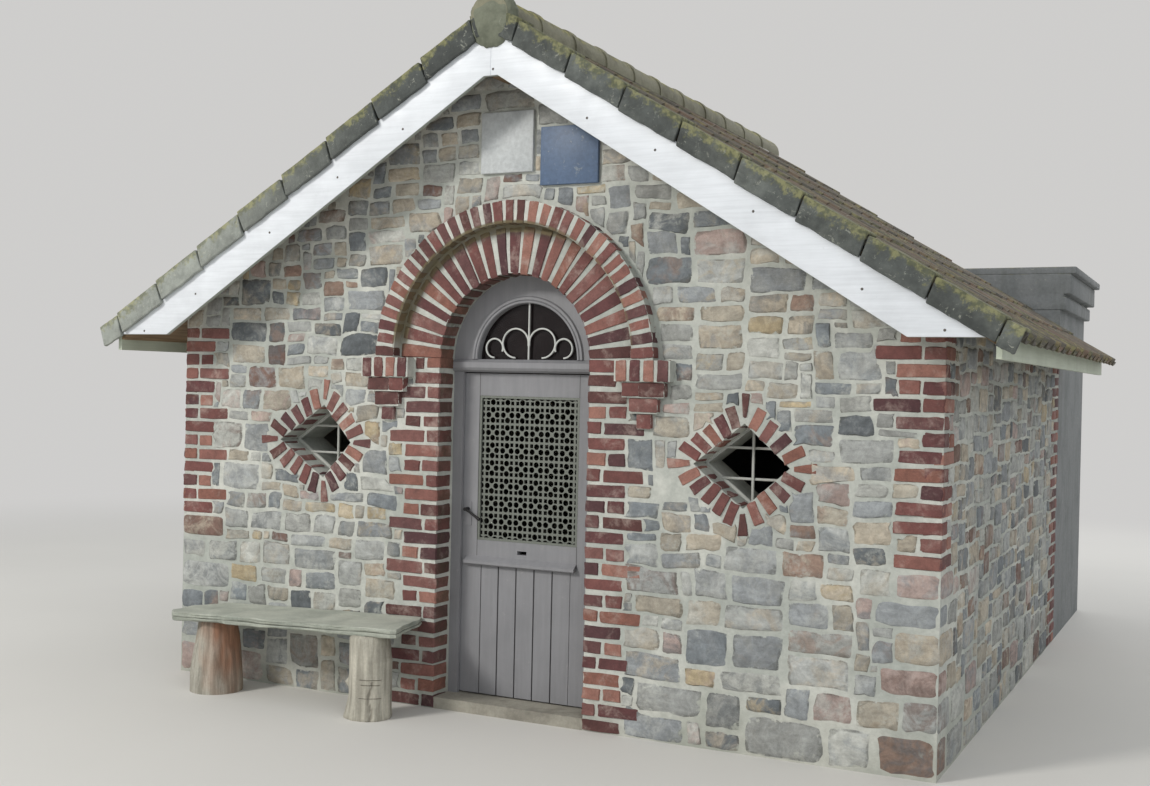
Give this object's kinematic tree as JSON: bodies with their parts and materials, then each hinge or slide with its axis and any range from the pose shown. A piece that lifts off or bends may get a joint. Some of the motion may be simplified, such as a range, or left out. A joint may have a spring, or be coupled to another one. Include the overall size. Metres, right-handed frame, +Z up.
{
  "type": "wayside shrine",
  "caption": "Small rubble-stone shrine: brick arched doorway with a hinged door, diamond windows, gabled tile roof, flat-roofed rear block and a stone bench.",
  "frame": {"origin": "middle of the doorway's floor slab on its underside, at ground level, halfway through the front wall", "axes": "+X to the right as seen from the front, +Y from the front to the back, +Z up"},
  "size_m": [5.2394, 6.1047, 3.707],
  "materials": {
    "rubble_stone": "rough split fieldstone in wide grey mortar",
    "dark_brick": "dark red to purple hard-fired brick, matt",
    "block_render": "weathered blue-grey cement render",
    "floor_stone": "worn grey slab",
    "roof_timber": "bare weathered softwood",
    "pantile": "dull brown-grey clay with moss and lichen",
    "ridge_tile": "pale weathered clay with lichen",
    "verge_tile": "grey clay with lichen and moss",
    "white_board": "white gloss paint on planed board",
    "eave_board": "pale green-grey paint",
    "pale_plaque": "smooth weathered pale stone",
    "blue_plaque": "smooth blue slate",
    "door_paint": "mauve-grey satin paint",
    "fan_glass": "plain glass",
    "scroll_metal": "pale grey paint",
    "grille_metal": "light grey-green paint",
    "black_iron": "black, worn smooth",
    "hinge_iron": "dark forged iron",
    "bench_stone": "pale greenish-grey riven slab",
    "stump_wood": "reddish-brown bark",
    "log_wood": "bare silver-grey log with drying cracks"
  },
  "bodies": {
    "building": {"front_wall_left": "rubble_stone", "front_wall_right": "rubble_stone", "front_gable": "rubble_stone", "side_wall_left": "rubble_stone", "side_wall_right": "rubble_stone", "rear_wall_left": "rubble_stone", "rear_wall_right": "rubble_stone", "rear_gable": "rubble_stone", "door_jamb_left": "dark_brick", "door_jamb_right": "dark_brick", "door_arch": "dark_brick", "hood_arch": "dark_brick", "hood_corbel_left": "dark_brick", "hood_corbel_right": "dark_brick", "window_surround_left": "dark_brick", "window_surround_right": "dark_brick", "chancel_wall_left": "block_render", "chancel_wall_right": "block_render", "chancel_wall_rear": "block_render", "chancel_cornice": "block_render", "chancel_roof": "block_render", "floor_slab": "floor_stone", "roof_deck_left": "roof_timber", "roof_deck_right": "roof_timber", "ridge_beam": "roof_timber", "roof_tiles_left": "pantile", "roof_tiles_right": "pantile", "ridge_tiles": "ridge_tile", "verge_tiles_left": "verge_tile", "verge_tiles_right": "verge_tile", "bargeboard_left": "white_board", "bargeboard_right": "white_board", "fascia_left": "eave_board", "fascia_right": "eave_board", "plaque_pale": "pale_plaque", "plaque_blue": "blue_plaque", "door_frame": "door_paint", "fanlight_frame": "door_paint", "fanlight_glass": "fan_glass", "fanlight_scroll": "scroll_metal", "hinge_pintles": "hinge_iron", "bench_slab": "bench_stone", "bench_post_left": "stump_wood", "bench_post_right": "log_wood"},
    "door": {"door_leaf": "door_paint", "door_boards": "door_paint", "door_grille": "grille_metal", "weather_bar": "door_paint", "lock_plates": "black_iron", "hinge_bands": "hinge_iron"},
    "lever": {"door_lever": "black_iron"}
  },
  "joints": [
    {"name": "door_hinge", "type": "hinge", "parent": "building", "child": "door", "pos_m": [0.403, 0.041, 0.9], "axis": [0, 0, -1], "range_deg": [0, 95]},
    {"name": "lever_turn", "type": "hinge", "parent": "door", "child": "lever", "pos_m": [-0.355, 0.0025, 1.065], "axis": [0, 1, 0], "range_deg": [0, 35], "stiffness_Nm_per_rad": 1.6, "springref_deg": -28.65}
  ]
}
